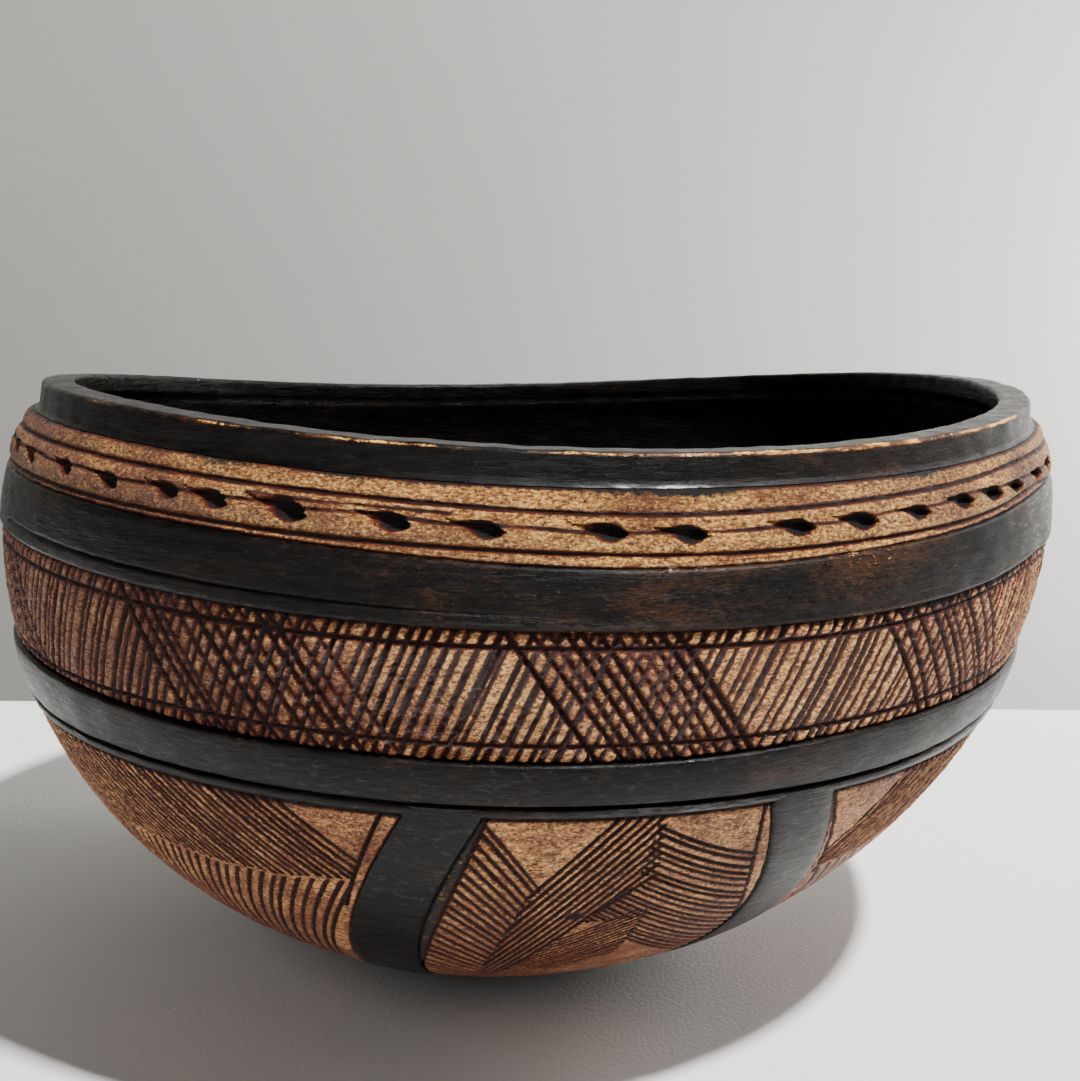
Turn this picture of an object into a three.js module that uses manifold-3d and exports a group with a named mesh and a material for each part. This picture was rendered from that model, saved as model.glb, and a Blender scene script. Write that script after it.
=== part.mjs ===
/**
 * A carved wooden bowl, about 254 mm across and 139 mm high.
 *
 * The bowl is designed as a round body of revolution: a collar at the rim, a laced
 * band, a plain shoulder, a hatched band, a plain waist, and six panels between six
 * ribs below it. A hand-carved bowl isn't quite round or upright, so settle() then
 * bends every piece in the same way.
 *
 * Millimetres, +Z up. The origin is the middle of the bounding box at the height of
 * the flat base. Angles are counted from +X, and the front faces -Y.
 */
import * as THREE from 'three';
import { mergeVertices } from 'three/addons/utils/BufferGeometryUtils.js';
import Module from 'manifold-3d';

const wasm = await Module();
wasm.setup();

// --- Driving dimensions -------------------------------------------------------

const WIDEST_RADIUS = 127;
const WIDEST_HEIGHT = 107;
const BELLY_POWER = 1.878; // 2 would be an ellipse
const BELLY_SINK = 2.7; // how far below the base the belly's curve would close
const SHOULDER_DRAW_IN = 0.06; // share of the radius lost in the first 30 mm above the widest
const BASE_RADIUS = 30;

const RIM_HEIGHT = 136.3;
const RIM_WIDTH = 7;
const COLLAR_INSET = 1.2;
const LIP_HEIGHT = 129.7;
const LACE_FOOT = 117;
const HATCH_HEAD = 105.2;
const HATCH_FOOT = 81.2;
const WAIST_GROOVE = 71.9;
const GROOVE_DEPTH = 1.4;
const PANEL_HEAD = 69;
const PANEL_FOOT = 8;
const WALL = 8.5;
const FLOOR = 12;

const RIBS = 6;
const RIB_WIDTH = 14;
const RECESS = 2.6; // depth of the pockets that the bare-wood zones fill
const ZONE_SET_BACK = 0.3; // the zones lie just under the black wood round them
const GAP = 0.3;
const RIM_BEVEL = 0.8;

const SEGMENTS = 60; // round the bowl
const PANEL_STEPS = 9; // up a panel

const PAIR_CENTRE = -78.6; // degrees: middle of the narrow panel at the front
const PAIR_PULL = 13.4; // degrees by which two ribs close on a narrow panel at the waist
const PAIR_POWER = 1.3;
const SADDLE = 4; // the rim's two ends stand this much higher than its mean
const SADDLE_TURN = 15; // degrees from +X to the higher end
const RIM_TILT = 1.6; // the rim falls by this much from the front to the sides
const WAIST_DROP = 3; // the waist runs this much lower at the two sides
const LEAN_X = 0.078; // the axis moves this far towards +X for each millimetre of height
const LEAN_Y = 0.1085;
const END_PARING = 1.8; // taken off the collar at the bowl's two ends

const BLACK = { color: 0x242322, roughness: 0.42, metalness: 0 };
const BARE_GOLD = { color: 0x9a6b3f, roughness: 0.6, metalness: 0 };
const BARE_TAN = { color: 0x8f6044, roughness: 0.65, metalness: 0 };
const BARE_BROWN = { color: 0x84543d, roughness: 0.65, metalness: 0 };

// --- The round shape ----------------------------------------------------------

/** The outer radius at a height: a blunt ellipse below the widest line, drawn in above. */
function belly(height) {
  const below = (WIDEST_HEIGHT - height) / (WIDEST_HEIGHT + BELLY_SINK);
  if (below > 0) return WIDEST_RADIUS * Math.sqrt(1 - below ** BELLY_POWER);
  const above = (height - WIDEST_HEIGHT) / 30;
  return WIDEST_RADIUS * (1 - SHOULDER_DRAW_IN * above ** 2);
}

/** The hollow's radius at a height: the belly's own curve, shrunk by the wall. */
function hollow(height) {
  const below = Math.max(0, (WIDEST_HEIGHT - height) / (WIDEST_HEIGHT - FLOOR));
  if (below > 0) return (WIDEST_RADIUS - WALL) * Math.sqrt(1 - below ** BELLY_POWER);
  return belly(height) - WALL;
}

/** Heights from low to high with even steps, both ends included. */
function heights(low, high, steps) {
  return Array.from({ length: steps + 1 }, (_, i) => low + ((high - low) * i) / steps);
}

/** Points along the belly between two heights, moved in by a depth square to it. */
function bellyLine(low, high, steps, depth) {
  return heights(low, high, steps).map((height) => {
    const slope = (belly(height + 0.01) - belly(height - 0.01)) / 0.02;
    const length = Math.hypot(1, slope);
    return [belly(height) - depth / length, height + (depth * slope) / length];
  });
}

/** The closed section of a zone that lies between two depths under the belly. */
function zoneSection(low, high, steps, outer, inner) {
  const outside = bellyLine(low, high, steps, outer);
  const inside = bellyLine(low, high, steps, inner).reverse();
  return [...outside, ...inside, outside[0]];
}

/** Turns a section of [radius, height] points round the Z axis. */
function turned(section) {
  const points = section.map(([radius, height]) => new THREE.Vector2(radius, height));
  return new THREE.LatheGeometry(points, SEGMENTS).rotateX(Math.PI / 2);
}

// --- Joining and cutting ------------------------------------------------------

function toSolid(geometry) {
  const bare = geometry.clone();
  bare.deleteAttribute('normal');
  bare.deleteAttribute('uv');
  const merged = mergeVertices(bare, 1e-3);
  const vertProperties = new Float32Array(merged.attributes.position.array);
  const corners = merged.index.array;
  const triVerts = [];
  for (let i = 0; i < corners.length; i += 3) {
    const [a, b, c] = corners.slice(i, i + 3);
    if (a !== b && b !== c && c !== a) triVerts.push(a, b, c);
  }
  const mesh = { numProp: 3, vertProperties, triVerts: new Uint32Array(triVerts) };
  return new wasm.Manifold(new wasm.Mesh(mesh));
}

function toGeometry(solid) {
  const { vertProperties, triVerts } = solid.getMesh();
  const geometry = new THREE.BufferGeometry();
  geometry.setAttribute('position', new THREE.BufferAttribute(vertProperties, 3));
  geometry.setIndex(new THREE.BufferAttribute(triVerts, 1));
  return geometry;
}

// --- The hand-made shape ------------------------------------------------------

/**
 * Bends a round piece into the carved one. The ribs close in pairs towards the waist,
 * the collar is pared at the two ends, the rim is a saddle that tilts back, the waist
 * sinks at the sides, and the whole bowl leans on its base.
 */
function settle(geometry) {
  const place = geometry.attributes.position;
  for (let i = 0; i < place.count; i++) {
    const height = place.getZ(i);
    const share = height / RIM_HEIGHT;
    let radius = Math.hypot(place.getX(i), place.getY(i));
    let angle = Math.atan2(place.getY(i), place.getX(i));

    const fromPair = angle - THREE.MathUtils.degToRad(PAIR_CENTRE);
    const pull = PAIR_PULL * THREE.MathUtils.clamp(height / PANEL_HEAD, 0, 1) ** PAIR_POWER;
    angle -= THREE.MathUtils.degToRad(pull) * Math.sin(3 * fromPair);

    const inCollar = THREE.MathUtils.smoothstep(height, LIP_HEIGHT - 1, LIP_HEIGHT + 1);
    radius -= END_PARING * inCollar * Math.abs(Math.cos(angle)) ** 6;

    const turn = THREE.MathUtils.degToRad(SADDLE_TURN);
    const nearWaist = Math.min(height / PANEL_HEAD, (HATCH_FOOT - height) / 12);
    const rise =
      SADDLE * share * Math.cos(2 * (angle - turn)) -
      RIM_TILT * share ** 6 * (1 + Math.sin(angle)) -
      WAIST_DROP * THREE.MathUtils.clamp(nearWaist, 0, 1) * Math.cos(angle) ** 2;

    place.setXYZ(
      i,
      radius * Math.cos(angle) + LEAN_X * (height - WIDEST_HEIGHT),
      radius * Math.sin(angle) + LEAN_Y * (height - WIDEST_HEIGHT),
      height + rise,
    );
  }
  return geometry;
}

function piece(name, round, look) {
  const geometry = settle(round);
  geometry.computeVertexNormals();
  const mesh = new THREE.Mesh(geometry, new THREE.MeshStandardMaterial(look));
  mesh.name = name;
  return mesh;
}

// --- The panels between the ribs ----------------------------------------------

/**
 * A wedge that reaches from one rib to the next, clear of both ribs' middles by half
 * a rib and a margin. Its point is where the two ribs' edges meet near the axis.
 */
function wedge(index, margin) {
  const half = Math.PI / RIBS;
  const apex = (RIB_WIDTH / 2 + margin) / Math.sin(half);
  const reach = 2 * WIDEST_RADIUS;
  const plan = new THREE.Shape([
    new THREE.Vector2(apex, 0),
    new THREE.Vector2(apex + reach * Math.cos(half), -reach * Math.sin(half)),
    new THREE.Vector2(apex + reach * Math.cos(half), reach * Math.sin(half)),
  ]);
  const middle = THREE.MathUtils.degToRad(PAIR_CENTRE) + (2 * Math.PI * index) / RIBS;
  const block = new THREE.ExtrudeGeometry(plan, { depth: RIM_HEIGHT, bevelEnabled: false });
  return toSolid(block.rotateZ(middle));
}

/** The ring in which all the panels' bare wood lies. */
function panelRing() {
  const low = PANEL_FOOT + GAP;
  const high = PANEL_HEAD - GAP;
  return toSolid(turned(zoneSection(low, high, PANEL_STEPS, ZONE_SET_BACK, RECESS - GAP)));
}

/** The ring that is cut away to make the panels' pockets, open on the outside. */
function pocketRing() {
  const beyond = -3;
  return toSolid(turned(zoneSection(PANEL_FOOT, PANEL_HEAD, PANEL_STEPS, beyond, RECESS)));
}

// --- The block of black-stained wood ------------------------------------------

function bodySection() {
  const collarFoot = belly(LIP_HEIGHT) - COLLAR_INSET;
  const rimOuter = belly(RIM_HEIGHT) + COLLAR_INSET;
  const rimInner = rimOuter - RIM_WIDTH;
  const inside = heights(FLOOR + 0.5, WIDEST_HEIGHT + 8, 11).reverse();
  return [
    [0, 0],
    [BASE_RADIUS, 0],
    ...bellyLine(PANEL_FOOT / 2, WAIST_GROOVE - 1, 12, 0),
    [belly(WAIST_GROOVE) - GROOVE_DEPTH, WAIST_GROOVE],
    ...bellyLine(WAIST_GROOVE + 1.2, HATCH_FOOT, 2, 0),
    ...bellyLine(HATCH_FOOT, HATCH_HEAD, 4, RECESS),
    ...bellyLine(HATCH_HEAD, LACE_FOOT, 2, 0),
    ...bellyLine(LACE_FOOT, LIP_HEIGHT, 2, RECESS),
    [collarFoot, LIP_HEIGHT + GAP],
    [rimOuter, RIM_HEIGHT - RIM_BEVEL],
    [rimOuter - RIM_BEVEL, RIM_HEIGHT],
    [rimInner + RIM_BEVEL, RIM_HEIGHT],
    [rimInner, RIM_HEIGHT - RIM_BEVEL],
    ...inside.map((height) => [hollow(height), height]),
    [0, FLOOR],
  ];
}

function bodySolid() {
  let solid = toSolid(turned(bodySection()));
  const ring = pocketRing();
  for (let i = 0; i < RIBS; i++) solid = solid.subtract(ring.intersect(wedge(i, 0)));
  return solid;
}

// --- The bowl -----------------------------------------------------------------

const bowl = new THREE.Group();

bowl.add(piece('bowl_body', toGeometry(bodySolid()), BLACK));

const laceSection = zoneSection(LACE_FOOT + GAP, LIP_HEIGHT - GAP, 2, ZONE_SET_BACK, RECESS - GAP);
bowl.add(piece('laced_band', turned(laceSection), BARE_GOLD));

const hatchSection = zoneSection(HATCH_FOOT + GAP, HATCH_HEAD - GAP, 4, ZONE_SET_BACK, RECESS - GAP);
bowl.add(piece('hatched_band', turned(hatchSection), BARE_TAN));

for (let i = 0; i < RIBS; i++) {
  const width = i % 2 === 0 ? 'narrow' : 'wide';
  const solid = panelRing().intersect(wedge(i, GAP));
  bowl.add(piece(`${width}_panel_${Math.floor(i / 2) + 1}`, toGeometry(solid), BARE_BROWN));
}

export default bowl;
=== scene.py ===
"""A carved wooden bowl, 254 mm across, on a pale table in soft studio light.

The bowl is one block of wood. Its outside is cut into plain black-stained bands and ribs,
with bare wood between them that is covered in knife-cut lines. Shapes are worked out in
millimetres and degrees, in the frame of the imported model, and become metres in solid().
"""

import bpy
import numpy as np
from mathutils import Matrix, Vector


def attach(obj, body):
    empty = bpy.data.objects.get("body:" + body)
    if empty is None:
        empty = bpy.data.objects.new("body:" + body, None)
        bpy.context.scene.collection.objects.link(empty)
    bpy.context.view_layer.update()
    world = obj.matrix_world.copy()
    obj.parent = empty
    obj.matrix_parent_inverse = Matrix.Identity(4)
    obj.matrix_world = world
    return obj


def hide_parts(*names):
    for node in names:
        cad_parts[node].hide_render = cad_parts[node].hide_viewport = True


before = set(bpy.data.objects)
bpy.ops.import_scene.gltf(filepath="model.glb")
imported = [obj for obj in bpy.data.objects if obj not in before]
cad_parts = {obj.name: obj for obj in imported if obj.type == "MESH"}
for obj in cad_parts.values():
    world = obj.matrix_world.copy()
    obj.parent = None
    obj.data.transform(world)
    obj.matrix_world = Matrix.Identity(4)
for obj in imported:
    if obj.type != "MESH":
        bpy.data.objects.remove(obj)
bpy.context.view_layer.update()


# --- The collar and the hollow ---------------------------------------------------------
# The rim is left 7 mm thick and stands as a plain upright collar, worn back to bare wood
# along its outer edge. The hollow is gouged smooth. Both are stained black and waxed.

WIDEST_RADIUS = 127.0
WIDEST_HEIGHT = 107.0
BELLY_POWER = 1.878
BELLY_FOOT = -2.7  # where the ellipse would end; the flat base cuts it off above that
RIM_HEIGHT = 136.3
RIM_WIDTH = 7.0
RIM_EDGE = 0.9  # radius of the rim's two rounded edges
WALL = 8.5
FLOOR_HEIGHT = 12.0
LIP_HEIGHT = 129.7  # the collar stands on the lip of the laced band
HATCH_FOOT = 81.2  # the waist sinks between these two heights
PANEL_HEAD = 69.0
LEAN_RIGHT = 0.078
LEAN_BACK = 0.1085
PAIR_CENTRE = -78.6  # degrees round from +x to the middle of the pair of ribs in front


def belly(height):
    """Outer radius: a blunt ellipse of power 1.878 below the widest line, drawn in above it."""
    below = np.clip((WIDEST_HEIGHT - height) / (WIDEST_HEIGHT - BELLY_FOOT), 0, 1)
    above = np.clip((height - WIDEST_HEIGHT) / 30, 0, None)
    return WIDEST_RADIUS * np.sqrt(1 - below**BELLY_POWER) * (1 - 0.06 * above**2)


def settle(angle, radius, height):
    """Round shape to hand-carved shape: collar pared at two ends, saddle rim, sunk waist, lean.

    The saddle is a wave of twice the angle that grows with height, and the lean is a shear.
    The angle is in degrees. The result is an array of x, y, z in millimetres.
    """
    turn = np.radians(angle)
    on_collar = np.clip((height - LIP_HEIGHT + 1) / 2, 0, 1)
    on_collar = on_collar**2 * (3 - 2 * on_collar)
    radius = radius - 1.8 * on_collar * np.abs(np.cos(turn)) ** 6
    share = height / RIM_HEIGHT
    near_waist = np.clip(np.minimum(height / PANEL_HEAD, (HATCH_FOOT - height) / 12), 0, 1)
    rise = 4 * share * np.cos(2 * (turn - np.radians(15)))
    rise = rise - 1.6 * share**6 * (1 + np.sin(turn)) - 3 * near_waist * np.cos(turn) ** 2
    x = radius * np.cos(turn) + LEAN_RIGHT * (height - WIDEST_HEIGHT)
    y = radius * np.sin(turn) + LEAN_BACK * (height - WIDEST_HEIGHT)
    return np.stack(np.broadcast_arrays(x, y, height + rise), axis=-1)


def uneven(angle, height, seed, lump):
    """Smooth unevenness between about -1 and 1, with lumps of a given length in millimetres.

    It is the mean of nine waves of random heading, each with whole turns round the bowl.
    """
    chance = np.random.default_rng(seed)
    total = 0
    for _ in range(9):
        heading = chance.uniform(0, 2 * np.pi)
        waves = 2 * np.pi / (lump * chance.uniform(0.7, 1.8))
        turns = np.round(waves * WIDEST_RADIUS * np.cos(heading))
        climb = waves * np.sin(heading)
        total = total + np.cos(turns * np.radians(angle) + climb * height + chance.uniform(0, 6.3))
    return total / 4.5


def hump(distance, width):
    """A smooth bell: 1 at no distance, 0.37 at one width from it."""
    return np.exp(-((distance / width) ** 2))


def solid(name, points, finish, slot, nodes, whole_turn=True, poles=None, **marks):
    """A closed mesh from a grid of points in millimetres: rows along a section, columns round.

    The section closes on itself, or runs from one pole on the axis to the other. A part turn
    gets a flat face at each end. Faces are turned over if the volume comes out negative.
    Marks are values per point, which the material reads.
    """
    rows, columns = points.shape[:2]
    index = np.arange(rows * columns).reshape(rows, columns)
    grid = index if poles is not None else np.vstack([index, index[:1]])
    grid = np.hstack([grid, grid[:, :1]]) if whole_turn else grid
    quads = np.stack([grid[:-1, :-1], grid[:-1, 1:], grid[1:, 1:], grid[1:, :-1]], axis=-1)
    faces = quads.reshape(-1, 4).tolist()
    places = points.reshape(-1, 3)
    if not whole_turn:
        faces += [index[:, 0].tolist(), index[::-1, -1].tolist()]
    if poles is not None:
        first, last = rows * columns, rows * columns + 1
        places = np.vstack([places, poles])
        faces += [[first, b, a] for a, b in zip(grid[0, :-1].tolist(), grid[0, 1:].tolist())]
        faces += [[last, a, b] for a, b in zip(grid[-1, :-1].tolist(), grid[-1, 1:].tolist())]
    a, b, c, d = (places[quads.reshape(-1, 4)[:, corner]] for corner in range(4))
    flux = np.einsum("ij,ij->i", np.cross(c - a, d - b), (a + b + c + d) / 4).sum()
    if flux < 0:
        faces = [face[::-1] for face in faces]
    mesh = bpy.data.meshes.new(name)
    mesh.from_pydata((places * 0.001).tolist(), [], faces)
    mesh.polygons.foreach_set("use_smooth", np.ones(len(faces), bool))
    mesh.set_sharp_from_angle(angle=np.radians(62))
    for mark, values in marks.items():
        values = np.broadcast_to(values, (rows, columns)).ravel()
        if poles is not None:
            values = np.append(values, [values[0], values[-1]])
        kept = mesh.attributes.new(mark, "FLOAT", "POINT")
        kept.data.foreach_set("value", values.astype(np.float32))
    mesh.materials.append(finish)
    piece = bpy.data.objects.new(name, mesh)
    bpy.context.scene.collection.objects.link(piece)
    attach(piece, "root")
    if nodes:
        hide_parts(*nodes)
    return piece


class Wire:
    """One value in a material's node tree, with arithmetic and a way to add any node."""

    def __init__(self, tree, socket=None):
        self.tree = tree
        self.socket = socket

    def node(self, kind, settings, values, out=0):
        """Adds a node: its settings first, then its sockets' values or links."""
        made = self.tree.nodes.new(kind)
        for key, value in settings.items():
            setattr(made, key, value)
        for key, value in values.items():
            if isinstance(value, Wire):
                self.tree.links.new(value.socket, made.inputs[key])
            else:
                made.inputs[key].default_value = value
        return Wire(self.tree, made.outputs[out])

    def math(self, how, first, second=0.0):
        return self.node("ShaderNodeMath", {"operation": how}, {0: first, 1: second})

    def __add__(self, other):
        return self.math("ADD", self, other)

    __radd__ = __add__

    def __sub__(self, other):
        return self.math("SUBTRACT", self, other)

    def __rsub__(self, other):
        return self.math("SUBTRACT", other, self)

    def __mul__(self, other):
        return self.math("MULTIPLY", self, other)

    __rmul__ = __mul__

    def clamp(self):
        return self.node("ShaderNodeClamp", {}, {0: self})

    def mark(self, name):
        """A value that was stored on the piece's points."""
        return self.node("ShaderNodeAttribute", {"attribute_name": name}, {}, out="Fac")

    def noise(self, stretch, scale, detail=4.0, roughness=0.6):
        """Noise from 0 to 1 in object coordinates, stretched by a factor along x, y and z."""
        place = self.node("ShaderNodeTexCoord", {}, {}, out="Object")
        laid = self.node("ShaderNodeMapping", {}, {"Vector": place, "Scale": stretch})
        values = {"Vector": laid, "Scale": scale, "Detail": detail, "Roughness": roughness}
        return self.node("ShaderNodeTexNoise", {}, values)

    def blend(self, colour, other, share):
        """Two colours mixed; either may be a plain red, green, blue or a wire."""
        pair = [c if isinstance(c, Wire) else (*c, 1.0) for c in (colour, other)]
        values = {0: share, 6: pair[0], 7: pair[1]}
        return self.node("ShaderNodeMix", {"data_type": "RGBA"}, values, out=2)

    def step(self, low, high):
        """0 below low, 1 above high, smooth between."""
        values = {"Value": self, "From Min": low, "From Max": high}
        return self.node("ShaderNodeMapRange", {"interpolation_type": "SMOOTHSTEP"}, values)


def dressed(name, colour, roughness, height, depth, coat=None, **plain):
    """A material whose colour, roughness, bump height and coat are wires made by functions.

    Any other name given is one of the shader's own sockets and takes a plain value.
    """
    made = bpy.data.materials.new(name)
    made.use_nodes = True
    tree = made.node_tree
    shader = tree.nodes["Principled BSDF"]
    start = Wire(tree)
    tree.links.new(colour(start).socket, shader.inputs["Base Color"])
    tree.links.new(roughness(start).socket, shader.inputs["Roughness"])
    if coat:
        tree.links.new(coat(start).socket, shader.inputs["Coat Weight"])
    bumped = start.node("ShaderNodeBump", {}, {"Height": height(start), "Distance": depth})
    tree.links.new(bumped.socket, shader.inputs["Normal"])
    for key, value in plain.items():
        shader.inputs[key.replace("_", " ")].default_value = value
    return made


def black_colour(start):
    """Near-black stain, thinner in streaks, with flecks of bare wood where it has worn off."""
    deep_black, thin_black = (0.0012, 0.0011, 0.001), (0.0085, 0.0062, 0.0048)
    rubbed_brown = (0.034, 0.013, 0.0055)
    bare_gold, bare_brown = (0.8, 0.4, 0.1), (0.1, 0.035, 0.015)
    patches = start.noise((1, 1, 2.2), 55, 5, 0.6)
    streaks = start.noise((1, 1, 7), 160, 5, 0.65)
    thin = (streaks * 2.6 + patches * 1.4 - 1.75).clamp()
    stain = start.blend(deep_black, thin_black, thin)
    wear = start.mark("wear")
    specks = start.noise((1, 1, 3.5), 700, 6, 0.78) * 0.6 + patches * 0.4
    rubbed = (specks - 0.615 + 0.27 * wear).step(0.0, 0.1)
    stain = start.blend(stain, rubbed_brown, rubbed * 0.9)
    flecks = start.noise((1, 1, 2.4), 1100, 5, 0.72) * 0.75 + patches * 0.25
    bare = (flecks - 0.87 + 0.48 * wear).step(0.0, 0.07)
    worn = start.blend(bare_gold, bare_brown, streaks.step(0.4, 0.58))
    return start.blend(stain, worn, bare)


def black_roughness(start):
    """Satin, from glossy to dull in streaks along the carving."""
    rubbed = start.noise((1, 1, 5), 200, 6, 0.75)
    return rubbed * 0.55 + 0.04


def black_height(start):
    """Long scraper marks with fine pits between them."""
    streaks = start.noise((1, 1, 8), 150, 6, 0.7)
    pits = start.noise((1, 1, 1.8), 620, 4, 0.65)
    return streaks * 0.6 + pits * 0.2


def black_coat(start):
    """Wax, left thick where the mark called shine is high and in scattered glints elsewhere."""
    glints = start.noise((1, 1, 2.5), 420, 5, 0.75).step(0.54, 0.64)
    broken = start.noise((1, 1, 5), 240, 5, 0.75).step(0.42, 0.58)
    return (start.mark("shine") * broken * 0.85 + glints * 0.25).clamp()


black_wood = dressed("black_stained_wood", black_colour, black_roughness, black_height, 0.0005,
                     coat=black_coat, Specular_IOR_Level=0.12, Coat_Roughness=0.22)


def collar_and_hollow():
    """Section from a pole under the floor, up behind the wall, over the rim and down the hollow.

    The hollow's curve is the belly's own, shrunk by the wall. Quarter circles round the rim's
    edges, and uneven() gives the tool's facets.
    """
    angle = np.linspace(-180, 180, 640, endpoint=False)[None, :]
    foot = belly(LIP_HEIGHT) - 1.2
    outer = belly(RIM_HEIGHT) + 1.2
    side = np.linspace(0, 1, 15)
    corner = np.linspace(0, np.pi / 2, 7)[1:-1]
    across = np.linspace(outer - RIM_EDGE, outer - RIM_WIDTH + RIM_EDGE, 15)
    mouth = RIM_HEIGHT - 1.1
    wall = np.concatenate([np.linspace(mouth, 107, 26), np.linspace(106, FLOOR_HEIGHT + 0.4, 46)])
    sunk = np.clip((WIDEST_HEIGHT - wall) / (WIDEST_HEIGHT - FLOOR_HEIGHT), 0, 1)
    lower = (WIDEST_RADIUS - WALL) * np.sqrt(1 - sunk**BELLY_POWER)
    inside = np.where(wall < WIDEST_HEIGHT, lower, belly(wall) - WALL)
    near_top = np.interp(wall, [128, mouth], [belly(128) - WALL, outer - RIM_WIDTH])
    inside = np.where(wall > 128, near_top, inside)
    start, end = LIP_HEIGHT + 0.2, RIM_HEIGHT - RIM_EDGE
    radius = np.concatenate([
        inside[::-8] + 1.4, [foot - 1.5, foot - 1.0], foot + (outer - foot) * side,
        across[0] + RIM_EDGE * np.cos(corner), across, across[-1] - RIM_EDGE * np.sin(corner), inside,
    ])
    height = np.concatenate([
        np.minimum(wall[::-8] - 1.0, 125), [126.5, 129.2], start + (end - start) * side,
        end + RIM_EDGE * np.sin(corner), RIM_HEIGHT + 0 * across, end + RIM_EDGE * np.cos(corner), wall,
    ])
    shown = (np.arange(len(radius)) > len(wall[::-8]))[:, None]
    radius, height = radius[:, None], height[:, None]
    facets = uneven(angle, height * 0.3, 11, 15) + 0.6 * uneven(angle, height, 12, 6)
    top = np.clip((height - 130) / 6, 0, 1) * shown
    radius = radius - shown * (0.22 + 0.16 * uneven(angle, height, 13, 9))
    height = height - top * (0.24 + 0.11 * facets)
    edge = hump(np.hypot(radius - outer + 0.25, height - RIM_HEIGHT + 0.55), 0.55)
    patches = 0.8 + 0.4 * uneven(angle, 0 * height, 14, 22) + 0.25 * uneven(angle, 0 * height, 15, 4)
    patches = np.clip(patches, 0, 1)
    front = 0.4 + 0.6 * hump(angle - PAIR_CENTRE, 55)
    rubbed = (0.12 + 0.3 * hump(angle + 47, 22)) * (height > 129)
    wear = np.clip(edge * patches * front * 1.1 + rubbed, 0, 1) * shown
    shine = hump(height - 130.4, 0.8) * hump(angle + 83, 10) * shown
    radius = radius + 0.5 * np.clip((131.3 - height) / 1.4, 0, 1) ** 2 * shown * (height > 129)
    poles = settle(np.zeros(2), np.zeros(2), np.array([wall[-1] - 1.2, FLOOR_HEIGHT]))
    return settle(angle, radius, height), {"wear": wear, "shine": shine}, poles


points, marks, poles = collar_and_hollow()
solid("rim_and_hollow", points, black_wood, "black_stained_wood", [], poles=poles, **marks)


# --- The laced band --------------------------------------------------------------------
# A strip of bare wood below the collar. Two knife lines leave a rounded cord between
# them, and a row of gouge notches, each deepest at its right end, makes it look laced.

def lace_foot(angle):
    """The band's lower edge: it dips by 1.5 mm at the front and climbs by 1.6 at the right."""
    return 117.9 - 1.5 * hump(angle + 79, 22) + 1.6 * hump(angle + 30, 12)


def upper_line(angle):
    """The knife line above the cord: 126.4 mm up, a little lower at the front."""
    return 126.4 - 0.9 * hump(angle + 79, 17) + 0.8 * hump(angle + 35, 12)


def lower_line(angle):
    """The knife line below the cord: 119.2 mm up, climbing at the right."""
    return 119.2 - 0.5 * hump(angle + 75, 14) + 1.8 * hump(angle + 33, 9)


def vee(distance, width):
    """The section of a knife cut: 1 at its bottom, falling evenly to 0 at half its width."""
    return np.clip(1 - np.abs(distance) / (0.5 * width), 0, 1)


def notches(angle, height):
    """Gouge cuts about 7 degrees apart: slanting pointed leaves 10 mm long, deepest at the right.

    Those in front stand at uneven steps and the rest at nearly even ones. A leaf is a parabola
    across its slanting middle line, and its half width swells and closes like a bent sine.
    Returns the depth in millimetres and the share painted dark: painted shade, most at the deep right end.
    """
    chance = np.random.default_rng(21)
    biggest = -110
    places = [-137, -129.5, -122, -117, biggest, -101, -93.6, -84]
    places += [-77.5, -68, -61.6, -55, -48.6, -43.2, -38]
    places += [-31.5 + 6.84 * i + chance.uniform(-0.9, 0.9) for i in range(37)]
    depth = 0 * (angle + height)
    dark = 0 * (angle + height)
    for place in places:
        size = 1.3 if place == biggest else chance.uniform(0.92, 1.12)
        along = ((angle - place + 180) % 360 - 180) * 2.2 / size
        above = (height - 122.9 + 0.5 * hump(place + 80, 14) - chance.uniform(-0.25, 0.25)) / size
        above = above + 0.15 * along - 0.012 * along**2
        part = np.clip((along + 6.6) / 10.2, 0, 1)
        half = 0.05 + 1.55 * np.sin(np.pi * part**1.8) ** 0.9
        leaf = np.clip(1 - (above / half) ** 2, 0, 1) * (part > 0) * (part < 1)
        depth = np.maximum(depth, 2.5 * size * leaf**0.7 * (0.25 + 0.75 * part))
        # Painted shade: each notch is painted dark inside, more towards its deep right end.
        stained = np.clip(leaf * 2.6, 0, 1) * np.clip(part * 2.6 - 0.6 + 0.12 * above, 0, 1)
        dark = np.maximum(dark, stained)
    return depth, dark


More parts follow.
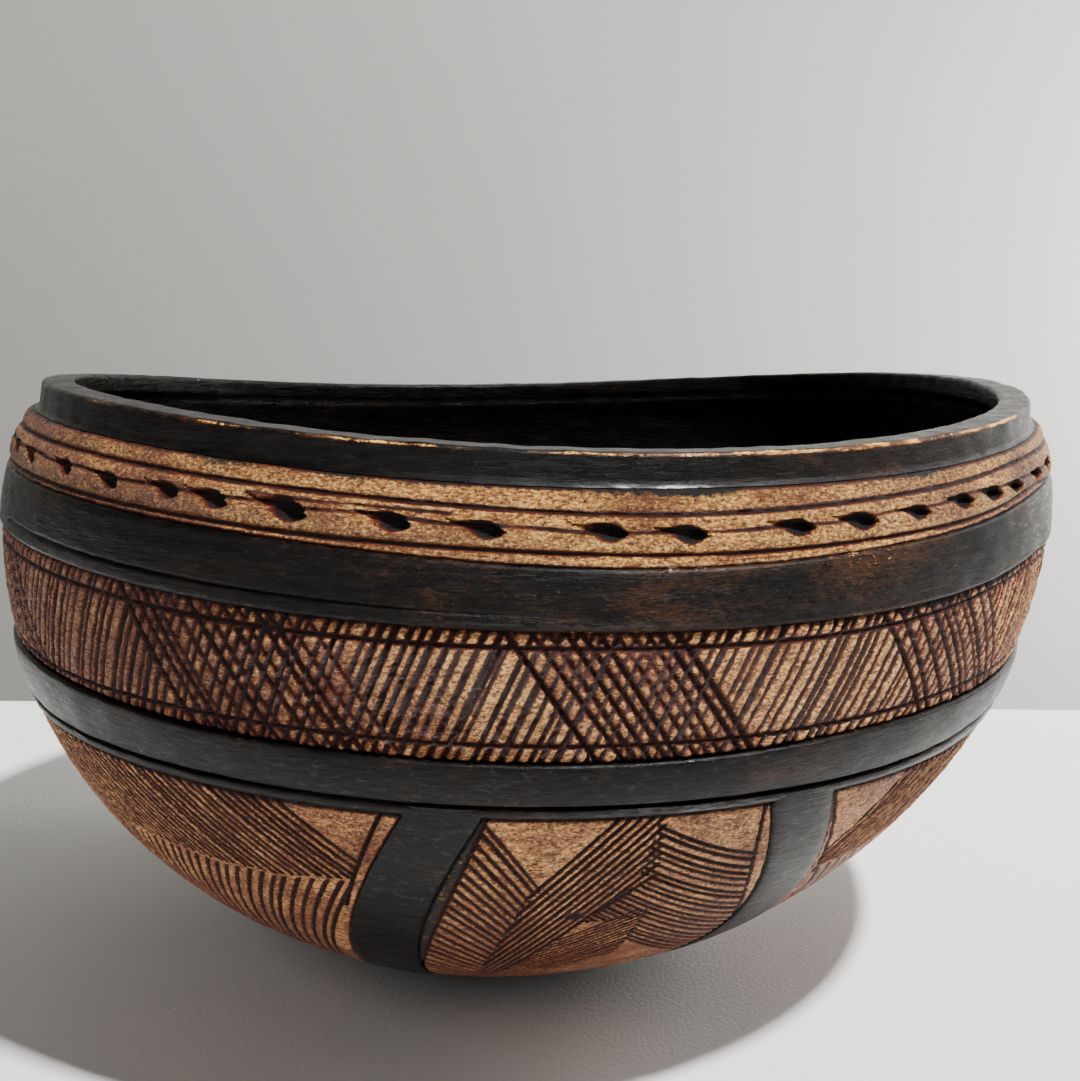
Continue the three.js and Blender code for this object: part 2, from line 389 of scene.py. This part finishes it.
def bare_colour(gold, brown):
    """Returns the colour of bare wood between two tones, speckled, with stain in the cuts and
    painted shade in the notches.

    Each layer is a blend towards its own tone, by a stretched noise of its own size: first
    blotches, then mottling, fibres, grit with specks of painted glint, and last the stain
    where the marks ask for it, which in the notches is painted shade.
    """
    blotched, mottled, fibrous = (0.26, 0.075, 0.026), (0.15, 0.042, 0.014), (0.085, 0.023, 0.009)
    painted_glint, gritty = (1.0, 0.64, 0.21), (0.035, 0.01, 0.005)
    maroon, dark_stain_and_shade, stain_and_shade_black = (0.1, 0.015, 0.006), (0.02, 0.003, 0.0014), (0.009, 0.008, 0.0072)

    def colour(start):
        broad = start.noise((1, 1, 4.5), 48, 6, 0.7)
        tone = (start.mark("tone") + broad * 2.2 - 1.1).clamp()
        wood = start.blend(gold, brown, tone)
        blotch = start.noise((1, 1, 3), 130, 6, 0.75)
        wood = start.blend(wood, blotched, blotch.step(0.46, 0.6) * 0.6)
        mottle = start.noise((1, 1, 2.4), 300, 6, 0.75)
        wood = start.blend(wood, mottled, mottle.step(0.48, 0.6) * 0.7)
        fibre = start.noise((1, 1, 2.8), 900, 5, 0.8)
        wood = start.blend(wood, fibrous, fibre.step(0.48, 0.58) * 0.9)
        grit = start.noise((1, 1, 1.6), 1250, 4, 0.75)
        # Painted glint: bright golden specks on the grain, fewer on darker wood.
        wood = start.blend(wood, painted_glint, grit.step(0.515, 0.61) * (1 - 0.75 * tone))
        wood = start.blend(wood, gritty, (1 - grit).step(0.55, 0.63) * 0.9)
        fringe = start.noise((1, 1, 1.3), 850, 5, 0.75) - 0.5
        cut = start.mark("cut") + fringe * 1.1
        # Stain in the knife cuts; in the notches the cut mark also brings painted shade.
        wood = start.blend(wood, maroon, cut.step(0.12, 0.36))
        wood = start.blend(wood, dark_stain_and_shade, cut.step(0.36, 0.7))
        # Black stain spilt at the edges, and painted shade inside the notches.
        stain_and_shade = start.mark("stain_and_shade") + fringe * 1.6
        return start.blend(wood, stain_and_shade_black, stain_and_shade.step(0.35, 0.8))

    return colour


def bare_roughness(start):
    """Half matt, broken up grain by grain."""
    return start.noise((1, 1, 1), 420, 4, 0.65) * 0.6 + 0.14


def bare_height(start):
    """Grain ripples across the wood, with the same grit that speckles the colour."""
    grit = start.noise((1, 1, 1.6), 1250, 4, 0.75)
    ripple = start.noise((1, 1, 3.5), 420, 5, 0.7)
    return grit * 0.6 + ripple * 1.3


BARE_BUMP = 0.0014
golden_colour = bare_colour((0.88, 0.4, 0.085), (0.13, 0.04, 0.016))
golden_wood = dressed("golden_bare_wood", golden_colour, bare_roughness, bare_height, BARE_BUMP,
                      Specular_IOR_Level=0.3)


def laced_band():
    """Rows follow the foot, the two lines and the lip; the cord is a parabola between lines.

    Everything cut is a vee sunk in that shape. Three more rows close the strip at its back.
    """
    angle = np.linspace(-180, 180, 1680, endpoint=False)[None, :]
    foot, under, over = lace_foot(angle), lower_line(angle), upper_line(angle)
    lip = LIP_HEIGHT + 0 * angle
    rows = [foot + (under - foot) * t for t in np.linspace(0, 1, 7)[:-1]]
    rows += [under + (over - under) * t for t in np.linspace(0, 1, 23)[:-1]]
    rows += [over + (lip - over) * t for t in np.linspace(0, 1, 10)]
    height = np.vstack(rows)
    cord = (height - (under + over) / 2) / ((over - under) / 2)
    bulge = 0.75 * np.clip(1 - cord**2, 0, 1)
    lines = np.maximum(vee(height - under, 1.2), vee(height - over, 1.3))
    notch, dark = notches(angle, height)
    wave = 0.35 * uneven(angle, 0 * height, 27, 26)
    course = 123.6 + wave - 0.9 * hump(angle + 79, 16) + 0.4 * hump(angle + 45, 10)
    second = vee(height - 124.9 - 0.3 * wave, 0.9) * (np.abs(angle + 105) < 9)
    groove = np.maximum(vee(height - course, 1.0), second)
    ends = np.clip(vee(height - foot, 1.2) + vee(height - lip, 1.2), 0, 1)
    streaks = vee(height - foot - 1.1, 0.7) * (uneven(angle, 0 * height, 23, 20) > -0.1) * 0.5
    carved = 0.5 * lines + notch + 0.42 * groove + 0.4 * ends + 0.2 * streaks
    handwork = 0.14 * uneven(angle, height, 24, 5) + 0.05 * uneven(angle, height, 26, 1.8) + 0.14
    radius = belly(height) - 0.35 + bulge - carved - handwork
    worn = np.clip(0.85 + 0.35 * uneven(angle, height, 29, 12), 0.45, 1)
    # Stain in the knife lines, plus the notches' painted shade.
    cut = np.clip((1.25 * lines + 1.05 * groove + 0.9 * ends + 0.8 * streaks) * worn + dark, 0, 1)
    # The tone darkens away from the front and at the left: partly the wood's own tone, partly painted
    # shade.
    away = np.sin(np.radians(angle + 78) / 2) ** 2
    left = np.clip((-98 - angle) / 40, 0, 1) * np.clip((180 + angle) / 15, 0, 1)
    tone = np.clip(0.42 + 1.2 * away + 0.6 * left + 0.4 * uneven(angle, height, 25, 24), 0, 1)
    smear = 0.45 + 0.5 * uneven(angle, 0 * height, 28, 30) + 0.5 * hump(angle + 88, 14)
    edge = np.clip((height - 127.4) / 2.2, 0, 1) * smear
    # Black stain spilt along the strip's edges, plus the notches' painted shade.
    stain_and_shade = np.clip(edge + 0.5 * np.clip(1 - (height - foot) / 0.8, 0, 1) + dark**2, 0, 1)
    back = np.stack([height[-1], height[len(rows) // 2], height[0]])
    radius = np.vstack([radius, belly(back) - 4.0])
    height = np.vstack([height, back])
    marks = {"cut": cut, "tone": tone, "stain_and_shade": stain_and_shade}
    marks = {key: np.vstack([value, 0 * back]) for key, value in marks.items()}
    return settle(angle, radius, height), marks


points, marks = laced_band()
solid("laced_strip", points, golden_wood, "golden_bare_wood", ["laced_band"], **marks)


# --- The shoulder ----------------------------------------------------------------------
# The widest part of the bowl, plain, black and waxed. Its edges are rounded over where
# the bands above and below are cut back. Handling has rubbed it at the right.

STRIP_DEPTH = 4.5


def hatch_head(angle):
    """The shoulder's lower edge, where the hatched band begins."""
    return 105.3 + 0.25 * hump(angle + 85, 15) + 1.4 * hump(angle + 33, 10)


def ring(low, high, steps, shape, columns=900):
    """Grid of a plain raised ring between two edge curves: angle, heights and radii.

    Shape gives the radius from angle, height and the share of the way up. Two more rows close
    the ring at its back.
    """
    angle = np.linspace(-180, 180, columns, endpoint=False)[None, :]
    share = np.linspace(0, 1, steps)[:, None]
    height = low(angle) + (high(angle) - low(angle)) * share
    radius = shape(angle, height, share)
    back = np.vstack([height[-1:], height[:1]])
    return angle, np.vstack([height, back]), np.vstack([radius, belly(back) - STRIP_DEPTH])


def shoulder_shape(angle, height, share):
    """The belly, rounded over by a parabola at both edges, with one faint line and a low bead."""
    low = 0.8 * np.clip(1 - share / 0.07, 0, 1) ** 2
    high = 0.7 * np.clip(1 - (1 - share) / 0.05, 0, 1) ** 2
    faint = 0.5 * vee(height - 108.5, 1.0) * np.clip((-86 - angle) / 8, 0, 1) * (angle > -150)
    rough = 0.08 * uneven(angle, height, 31, 12) + 0.05 * uneven(angle, height * 2.5, 33, 6)
    bead = 0.2 * hump(height - hatch_head(angle) - 1.5, 0.5) * hump(angle + 86, 13)
    return belly(height) - 0.2 - low - high - faint - rough + bead


angle, height, radius = ring(hatch_head, lace_foot, 44, shoulder_shape)
wear = 0.26 + 0.2 * hump(angle + 68, 34) + 0.12 * uneven(angle, height, 32, 40)
wear = wear + 0.2 * vee(height - hatch_head(angle), 1.6) + 0.12 * vee(height - lace_foot(angle), 1.6)
marks = {"wear": np.clip(wear, 0, 1)}
marks["shine"] = hump(height - hatch_head(angle) - 2.0, 0.8) * hump(angle + 86, 11)
solid("shoulder", settle(angle, radius, height), black_wood, "black_stained_wood", [], **marks)


# --- The hatched band ------------------------------------------------------------------
# Bare wood cut all over with slanting knife lines about 2.5 mm apart, every second 35 mm
# crossed by steeper ones. A ruled line runs along each edge. Stain sits in every cut.

def hatch_foot(angle):
    """The lower edge of the hatched band."""
    return 80.95 + 0.9 * hump(angle + 57, 16)


def head_line(angle):
    """The ruled line below the band's head; it climbs at the right."""
    return 102.2 + 0.35 * hump(angle + 88, 20) + 2.4 * hump(angle + 36, 14)


def foot_line(angle):
    """The ruled line above the band's foot; it sags at the left."""
    return 84.6 - 2.0 * hump(angle + 141, 22) - 0.6 * hump(angle + 33, 10)


def hatched_band(name, first, count, seed):
    """One half of the band. Columns lean along the slanting cuts, eight to each ridge.

    A cut is a vee in the distance to its line; the crossing cuts lean the other way. Each
    group of crossing cuts runs from one angle to another, read at the band's head.
    """
    chance = np.random.default_rng(seed)
    pitch = 180 / count
    per_degree = 2.2
    shift = chance.uniform(-0.24, 0.24, count + 1)
    shift[0] = shift[-1] = 0
    line = first + pitch * (np.arange(count + 1) + shift)
    part = np.linspace(0, 1, 9)[:-1]
    column = np.append((line[:-1, None] + np.diff(line)[:, None] * part).ravel(), line[-1])[None, :]
    to_line = np.append((np.diff(line)[:, None] * np.minimum(part, 1 - part)).ravel(), 0)
    to_line = to_line[None, :] * per_degree
    strength = chance.uniform(0.6, 1.2, count + 1)
    broad = chance.uniform(1.4, 2.1, count + 1)
    nearest = np.append((np.arange(count)[:, None] + (part > 0.5)).ravel(), count)
    strength, broad = strength[nearest][None, :], broad[nearest][None, :]
    slope = 0.165 + 0.03 * uneven(column, 0, 41, 90)
    low, high = hatch_foot(column), hatch_head(column)
    under, over = foot_line(column), head_line(column)
    rows = [low + (under - low) * t for t in np.linspace(0, 1, 9)[:-1]]
    rows += [under + (over - under) * t for t in np.linspace(0, 1, 41)[:-1]]
    rows += [over + (high - over) * t for t in np.linspace(0, 1, 9)]
    height = np.vstack(rows)
    angle = column + slope * (height - 93)
    slant = vee(to_line, broad) * strength
    fade = 1 - 0.25 * np.clip(uneven(angle, height, seed + 1, 7), 0, 1)
    cross = 0 * angle
    crossed = 0 * angle
    groups = [(-160, -147), (-125.2, -105.6), (-90, -75.2), (-57.4, -42), (-26, -10), (6, 23)]
    groups += [(38, 54), (70, 86), (103, 118), (134, 151), (166, 181)]
    for first_cut, last_cut in groups:
        place = first_cut
        for turn in (-360, 0, 360):
            start = angle - turn - 0.35 * (102 - height)
            crossed = np.maximum(crossed, (start > first_cut) * (start < last_cut))
        while place <= last_cut:
            lean = 0.35 + chance.uniform(-0.02, 0.02)
            wide = chance.uniform(1.3, 2.0)
            strong = 1.25 if place == first_cut else chance.uniform(0.6, 1.1)
            for turn in (-360, 0, 360):
                away = (angle - place - turn - lean * (102 - height)) * 2.08
                if np.abs(away).min() < 1:
                    cross = np.maximum(cross, vee(away, wide) * strong)
            place = place + chance.uniform(1.1, 2.1)
    slant = slant * (1 - 0.25 * crossed)
    ruled = np.maximum(vee(height - under, 1.15), vee(height - over, 1.25))
    heavy = vee((angle + 93.2 - 0.19 * (height - 93)) * per_degree, 2.2)
    heavy = heavy * (height > under) * (height < over)
    carved = np.maximum.reduce([0.85 * slant * fade, 0.95 * cross * fade, 0.85 * ruled, heavy])
    ridge = 0.1 * uneven(angle, height, seed + 2, 3)
    ridge = ridge + 0.09 * uneven(angle, height * 2.2, seed + 3, 2.2)
    share = (height - low) / (high - low)
    tuck = 0.8 * np.clip(1 - share / 0.03, 0, 1) + 0.5 * np.clip(1 - (1 - share) / 0.03, 0, 1)
    radius = belly(height) - 0.85 - carved - ridge - tuck
    stained = np.maximum.reduce([1.3 * slant * fade, 1.4 * cross * fade, 1.5 * ruled, 1.5 * heavy])
    cut = np.clip(stained + tuck, 0, 1)
    spill = np.clip((height - high + 2.6) / 2.4, 0, 1)
    spill = spill * np.clip(0.75 + 0.5 * uneven(angle, 0, 43, 30), 0, 1)
    spill = spill * (0.35 + 0.65 * hump(angle + 50, 25) + 0.5 * hump(angle + 98, 9))
    # The tone darkens away from the front and at the left, partly the wood's own tone, partly painted
    # shade; crossed cuts darken it too.
    away = np.sin(np.radians(angle + 75) / 2) ** 2
    tone = 0.2 + 1.8 * away + 0.25 * crossed + 0.45 * hump(angle + 126, 26)
    tone = np.clip(tone + 0.3 * uneven(angle, height, 44, 22), 0, 1)
    back = np.vstack([height[-1:], height[:1]])
    radius = np.vstack([radius, belly(back) - STRIP_DEPTH])
    points = settle(np.vstack([angle, angle[-1:], angle[:1]]), radius, np.vstack([height, back]))
    marks = {"cut": cut, "tone": tone, "stain_and_shade": np.clip(spill, 0, 1)}
    marks = {key: np.vstack([value, value[-1:], value[:1]]) for key, value in marks.items()}
    nodes = ["hatched_band"] if name == "front_hatching" else []
    solid(name, points, hatched_wood, "hatched_bare_wood", nodes, whole_turn=False, **marks)


hatched_colour = bare_colour((1.0, 0.47, 0.15), (0.27, 0.08, 0.038))
hatched_wood = dressed("hatched_bare_wood", hatched_colour, bare_roughness, bare_height, BARE_BUMP,
                       Specular_IOR_Level=0.3)
CUTS_IN_HALF = 156
hatched_band("front_hatching", -180, CUTS_IN_HALF, 45)
hatched_band("back_hatching", 0, CUTS_IN_HALF, 46)


# --- The waist -------------------------------------------------------------------------
# A plain black moulding below the hatching, cut away sharply underneath so that it throws
# a dark line, with a narrow lip between that line and the panels.

def panel_head(angle):
    """The line where the lip ends and the panels begin."""
    return 69.4 + 0.4 * hump(angle + 65, 24)


def waist_shape(angle, height, share):
    """A shallow outward curve, a deep undercut a quarter of the way up, and a thin lip below."""
    groove = 72.0 + 0.4 * hump(angle + 68, 20) + 1.2 * hump(angle + 30, 14)
    groove = groove - 0.5 * hump(angle + 140, 14)
    above = np.clip((height - groove) / (hatch_foot(angle) - groove), 0, 1)
    moulding = 0.75 * np.clip(4 * above * (1 - above), 0, 1) ** 0.6
    lip = 0.35 * np.clip(1 - np.abs(height - groove + 1.3) / 1.2, 0, 1)
    under = 1.2 * vee(height - groove, 1.0)
    edges = 0.5 * np.clip(1 - (1 - share) / 0.05, 0, 1) ** 2 + 0.6 * np.clip(1 - share / 0.04, 0, 1)
    return belly(height) - 0.35 + moulding + lip - under - edges - 0.09 * uneven(angle, height, 51, 12)


angle, height, radius = ring(panel_head, hatch_foot, 44, waist_shape)
wear = 0.2 + 0.16 * hump(angle + 70, 24) + 0.1 * uneven(angle, height, 52, 35)
marks = {"wear": np.clip(wear, 0, 1), "shine": hump(height - 71.2, 1.0) * hump(angle + 74, 9)}
solid("waist", settle(angle, radius, height), black_wood, "black_stained_wood", [], **marks)


# --- The ribs and the base -------------------------------------------------------------
# Six plain ribs run from a small flat base up to the waist, where they close in pairs.
# They stand a little above the panels between them, and are stained black.

RIB_HALF_WIDTH = 7.0
BASE_TOP = 6.5  # the plain wood round the base ends here and the panels begin


def drawn_in(angle, height):
    """Where a direction of the round layout ends up: the ribs close in pairs with height."""
    pull = 13.4 * np.clip(height / PANEL_HEAD, 0, 1) ** 1.3
    return angle - pull * np.sin(3 * np.radians(angle - PAIR_CENTRE))


def ribs_and_base():
    """Columns crowd on the ribs, whose half width is 7 mm of arc; the belly sinks between them.

    The ribs' crown falls off by the sixth power of the way across. The section ends behind
    the panels, in a pole above the base.
    """
    height = np.concatenate([[0.0, 0.35, 1.0], np.linspace(2, 71.6, 154)])[:, None]
    bare = np.concatenate([[28.5, 30.3, 31.8], belly(height[3:, 0])])[:, None]
    across = np.linspace(-1, 1, 26)
    half = np.degrees(RIB_HALF_WIDTH / bare)
    gap = 30 - half
    columns = []
    for rib in range(6):
        middle = PAIR_CENTRE - 30 + 60 * rib
        on_rib = middle + half * across[None, :]
        off_rib = middle + half + 2 * gap * np.linspace(0.004, 0.996, 12)[None, :]
        columns += [on_rib, off_rib]
    angle = np.hstack(columns)
    lift = np.tile(np.concatenate([np.ones(26), np.zeros(12)]), 6)[None, :]
    crown = np.tile(np.concatenate([1 - np.abs(across) ** 6, np.zeros(12)]), 6)[None, :]
    between = np.clip((height - BASE_TOP) / 1.5, 0, 1) * (1 - lift)
    wave = 0.08 * uneven(angle, height, 61, 14)
    radius = bare - 3.4 * between - lift * 0.5 * (1 - crown) - 0.08 - wave
    turn = drawn_in(angle, height)
    lower = np.linspace(BASE_TOP, 68, 12)[::-1, None] + 0 * angle[:1]
    behind = np.clip(belly(lower) - 7, 8, None)
    points = settle(np.vstack([turn, drawn_in(angle[-1:] + 0 * lower, lower)]),
                    np.vstack([radius, behind]), np.vstack([height + 0 * angle, lower]))
    wear = 0.1 + 0.12 * uneven(angle, height, 62, 30) + 0.2 * hump(height, 2.5)
    wear = np.vstack([np.clip(wear, 0, 1), 0 * lower])
    poles = settle(np.zeros(2), np.zeros(2), np.array([0.0, BASE_TOP]))
    return points, wear, poles


points, wear, poles = ribs_and_base()
solid("ribs_and_base", points, black_wood, "black_stained_wood", ["bowl_body"],
      poles=poles, wear=wear)


# --- The panels between the ribs ---------------------------------------------------------
# Bare wood, redder towards the base, each framed by a knife line beside its ribs. Narrow
# panels carry a herringbone of straight and curved cuts, wide ones long slanting cuts
# from the head and short steep ones below. A plain triangle is left in the upper corners.

PANEL_FOOT = 7.2
PANEL_ROWS = 190


def family(place, first, pitch, count, width, chance):
    """Knife cuts at even steps of a place value in millimetres, each a little out of true."""
    cut = 0 * place
    for i in range(count):
        middle = first + pitch * (i + chance.uniform(-0.13, 0.13))
        cut = np.maximum(cut, vee(place - middle, width) * chance.uniform(0.7, 1.1))
    return cut


def narrow_cuts(turn, height, chance):
    """Herringbone of straight cuts at the left, curved cuts at the right, flat ones below.

    The herringbone's spine follows the first slanting cut, then drops more steeply. The
    margins bend outwards by parabolas. Turn is in degrees from the panel's middle. Returns
    the cuts and the dark margin.
    """
    scale = np.clip(belly(height), 40, None) * np.pi / 180
    edge = -12.9 - 0.15 * (69 - height) - 0.0008 * (69 - height) ** 2
    far = 12.7 + 0.1 * (69 - height) + 0.0036 * (69 - height) ** 2
    ruled = np.maximum(vee((turn - edge) * scale, 1.2), vee((turn - far) * scale, 1.1))
    inside = (turn > edge) * (turn < far) * (height > 14)
    down = 69 - height
    first = -1.4 - 0.36 * down
    spine = np.where(down < 18, first, -7.88 - 0.16 * (down - 18))
    away = np.clip(turn - edge, 0, 20)
    left = (height + 0.2 * away) / (1 - 0.025 * away)
    left = family(left, 68.3, -2.3, 22, 1.45, chance) * (turn < spine + 0.4) * (left < 69.2)
    bundle = 0 * turn
    for i in range(10):
        begins = 69.6 - 2.3 * max(0, i - 4)
        away = (turn - first - 1.02 * i) * scale * 0.85
        bundle = np.maximum(bundle, vee(away, 1.25) * (height < begins) * chance.uniform(0.8, 1.1))
    bundle = bundle * (height > 15) * (turn > spine - 0.3)
    away = np.clip(far - turn, 0, 22)
    curved = height - 0.55 * away - 0.042 * away**2
    right_of = np.where(height > 55, 2.4, 3.9 - 0.475 * (54 - height))
    lower = (turn > right_of) * ((height > 42) | (turn > 5))
    curved = family(curved, 57.2, -2.05, 21, 1.4, chance) * lower
    flat = (turn - 4.6 + 0.87 * (44.5 - height)) * 1.05
    flat = family(flat, -1.0, 1.25, 14, 1.0, chance) * (height < 45) * (height > 15)
    flat = flat * (turn > right_of + 1) * (turn < 5.5) * 0.9
    heavy = vee((turn - 3.6 + 0.475 * (54 - height)) * scale, 2.0) * (height < 55) * (height > 45)
    gouge = hump((turn + 2.8) * 0.6, 0.5) * hump(height - 44.2, 0.8)
    cuts = np.maximum.reduce([left, bundle, curved, flat]) * inside
    cuts = cuts * np.clip((height - 12) / 16, 0.2, 1)
    cuts = np.maximum.reduce([cuts, ruled * 1.2 * (height > 18), heavy * 1.2, 1.4 * gouge])
    margin = np.clip((edge - turn) * scale * 2, 0, 1) * (height > 16)
    return cuts, margin


def wide_cuts(turn, height, chance):
    """Long cuts from the head towards each lower corner, and short steep cuts below them.

    Each set is a family of parallel lines, kept to its own part of the panel by comparisons.
    """
    scale = np.clip(belly(height), 40, None) * np.pi / 180
    down = 69 - height
    far = 37.8 - 0.22 * down
    edge = -39.2 + 0.29 * down
    ruled = np.maximum(vee((turn - far) * scale, 1.2), vee((turn - edge) * scale, 1.2))
    inside = (turn > edge) * (turn < far)
    floor = 50 + 0.28 * np.clip(turn - 25, 0, None) + 0.5 * uneven(turn, 0, 71, 20)
    start = turn - 0.585 * down
    along = family(start * 1.75, 48.6, -2.2, 34, 1.6, chance) * (height > floor)
    steep = family((turn + 0.33 * (50 - height)) * 1.6, 54, -2.4, 33, 1.3, chance)
    steep = steep * (height < floor - 0.6) * (turn > -13) * np.clip((height - 13) / 6, 0, 1)
    left = family((turn + 0.33 * down) * 1.95, -55.4, 1.9, 28, 1.6, chance) * (start < -14.5)
    low_left = (turn < -13) * (height < 46)
    lower = family((turn - 0.45 * (46 - height)) * 1.5, -62, 2.8, 20, 1.5, chance) * low_left
    left = left * (height > 46.5) + lower * np.clip((height - 13) / 6, 0, 1)
    along = along * (start > -14.5)
    cuts = np.maximum.reduce([along, steep, left]) * inside
    return np.maximum(cuts, ruled * 1.2 * (height > 44)), 0 * cuts


def panel(name, order, cuts_of, columns):
    """A slab between two rib edges: rows up from the base, cuts and roughness sunk in it.

    A tuck along every edge parts it from the black wood. Three more rows close its back.
    """
    chance = np.random.default_rng(80 + order)
    middle = PAIR_CENTRE + 60 * order
    share = np.linspace(0, 1, PANEL_ROWS)[:, None]
    side = np.linspace(-1, 1, columns)[None, :]
    guess = PANEL_FOOT + 62.2 * share
    half = 30 - np.degrees((RIB_HALF_WIDTH + 0.15) / belly(guess))
    turn = drawn_in(middle + half * side, guess)
    height = PANEL_FOOT + (panel_head(turn) - 0.15 - PANEL_FOOT) * share
    local = turn - drawn_in(middle + 0 * side, 69)
    cuts, margin = cuts_of(local, height, chance)
    rough = uneven(turn, height, 90 + order, 3)
    fine = uneven(turn, height * 2.0, 120 + order, 2.4)
    radius = belly(height) - 0.75 - 0.75 * np.clip(cuts, 0, 1.4) - 0.09 * rough - 0.08 * fine
    from_rib = (1 - np.abs(side)) * np.radians(half) * belly(guess)
    tuck = np.maximum(np.clip(1 - from_rib / 0.7, 0, 1), np.clip(1 - (1 - share) * 62 / 0.8, 0, 1))
    scraped = np.clip((34 - height) / 8, 0, 1) * uneven(turn, height, 100 + order, 1.6)
    radius = radius - 0.7 * tuck - 0.25 * margin - 0.06 * scraped
    cut = np.clip(np.maximum(cuts * 1.6, tuck) * (1 - 0.25 * np.clip(rough, 0, 1)), 0, 1)
    redder = np.clip((46 - height) / 16, 0, 1)
    tone = np.clip(0.5 + 0.6 * redder + 0.3 * uneven(turn, height, 110 + order, 18), 0, 1)
    tone = tone - 0.3 * hump(local, 12) * np.clip((height - 50) / 15, 0, 1)
    stain_and_shade = np.clip(0.8 * margin + 0.9 * tuck, 0, 1)
    behind = [-1, PANEL_ROWS // 2, 0]
    radius = np.vstack([radius, belly(height[behind]) - 3.6])
    points = settle(np.vstack([turn, turn[behind]]), radius, np.vstack([height, height[behind]]))
    marks = {"cut": cut, "tone": np.clip(tone, 0, 1), "stain_and_shade": stain_and_shade}
    marks = {key: np.vstack([value, value[behind]]) for key, value in marks.items()}
    solid(f"{name}_cuts", points, panel_wood, "panel_bare_wood", [name], whole_turn=False, **marks)


panel_colour = bare_colour((1.0, 0.43, 0.17), (0.24, 0.055, 0.028))
panel_wood = dressed("panel_bare_wood", panel_colour, bare_roughness, bare_height, BARE_BUMP,
                     Specular_IOR_Level=0.3)
for order, (name, cuts_of, columns) in enumerate([
    ("narrow_panel_1", narrow_cuts, 240), ("wide_panel_1", wide_cuts, 400),
    ("narrow_panel_2", narrow_cuts, 200), ("wide_panel_2", wide_cuts, 320),
    ("narrow_panel_3", narrow_cuts, 200), ("wide_panel_3", wide_cuts, 400),
]):
    panel(name, order, cuts_of, columns)


# --- The camera --------------------------------------------------------------------------
# It stands 35 cm in front of the bowl and a little above the rim, and looks 10 degrees
# down, so that the far inner wall just shows.

CAMERA_PLACE = (0.0026, -0.3496, 0.1579)
PITCH, ROLL, YAW = 0.1749, 0.0091, 0.0019

view = bpy.data.cameras.new("camera")
view.sensor_fit = "HORIZONTAL"
view.sensor_width = 36.0
view.lens = 45.59
view.clip_start = 0.01
view.clip_end = 20
camera = bpy.data.objects.new("camera", view)
bpy.context.scene.collection.objects.link(camera)
level = np.array([np.cos(YAW), -np.sin(YAW), 0])
upward = np.array([np.sin(PITCH) * np.sin(YAW), np.sin(PITCH) * np.cos(YAW), np.cos(PITCH)])
ahead = np.array([np.cos(PITCH) * np.sin(YAW), np.cos(PITCH) * np.cos(YAW), -np.sin(PITCH)])
pose = np.eye(4)
pose[:3, 0] = np.cos(ROLL) * level + np.sin(ROLL) * upward
pose[:3, 1] = np.cos(ROLL) * upward - np.sin(ROLL) * level
pose[:3, 2] = -ahead
pose[:3, 3] = CAMERA_PLACE
camera.matrix_world = Matrix(pose.tolist())
bpy.context.scene.camera = camera


# --- The table and the wall ---------------------------------------------------------------
# A pale matt table that ends 17 cm behind the bowl's middle, with a grey-white studio wall
# some way behind it.


def sheet(name, corners, colour):
    """A flat stage piece with a plain matt material that varies very slightly."""
    mesh = bpy.data.meshes.new(name)
    mesh.from_pydata(corners, [], [list(range(len(corners)))])

    def shade(start):
        """The colour, darkened by up to 7% in broad soft clouds."""
        return start.blend(colour, tuple(0.93 * c for c in colour), start.noise((1, 1, 1), 5, 3))

    def dull(start):
        """Nearly matt all over."""
        return start.noise((1, 1, 1), 40, 3) * 0.1 + 0.8

    def nap(start):
        """The fine tooth of paint or paper."""
        return start.noise((1, 1, 1), 900, 3)

    mesh.materials.append(dressed(name, shade, dull, nap, 0.0002))
    made = bpy.data.objects.new(name, mesh)
    bpy.context.scene.collection.objects.link(made)


TABLE_EDGE = 0.17
table_corners = [(-1.6, -1.2, 0), (1.6, -1.2, 0), (1.6, TABLE_EDGE, 0), (-1.6, TABLE_EDGE, 0)]
sheet("table", table_corners, (0.80, 0.79, 0.765))
WALL_PLACE = 0.75
wall_corners = [(-3, WALL_PLACE, -0.9), (3, WALL_PLACE, -0.9), (3, WALL_PLACE, 2.4), (-3, WALL_PLACE, 2.4)]
sheet("wall", wall_corners, (0.29, 0.288, 0.27))


# --- The light ----------------------------------------------------------------------------
# One small lamp high in front at the right casts the shadow. Two weak lamps fill the sides,
# one lights the wall, and the room gives an even dim light.


def lamp(name, place, aim, size, power):
    """A square area light at a place, turned to face its aim; size in metres, power in watts."""
    light = bpy.data.lights.new(name, "AREA")
    light.size = size
    light.energy = power
    lit = bpy.data.objects.new(name, light)
    lit.location = place
    back = (lit.location - Vector(aim)).normalized()
    lit.rotation_euler = back.to_track_quat("Z", "Y").to_euler()
    bpy.context.scene.collection.objects.link(lit)


lamp("key", (0.76, -0.60, 2.0), (0, 0, 0.05), 0.12, 128)
lamp("side", (1.1, 0.45, 0.6), (0, 0, 0.08), 0.4, 4.5)
lamp("fill", (-0.8, -0.9, 0.8), (0, 0, 0.03), 0.8, 3)
lamp("wall_light", (0.8, 0.32, 0.2), (0.6, 0.75, -0.04), 0.3, 24.0)

world = bpy.data.worlds.new("room")
bpy.context.scene.world = world
world.use_nodes = True
air = world.node_tree.nodes["Background"]
air.inputs["Color"].default_value = (0.80, 0.80, 0.80, 1)
air.inputs["Strength"].default_value = 0.15
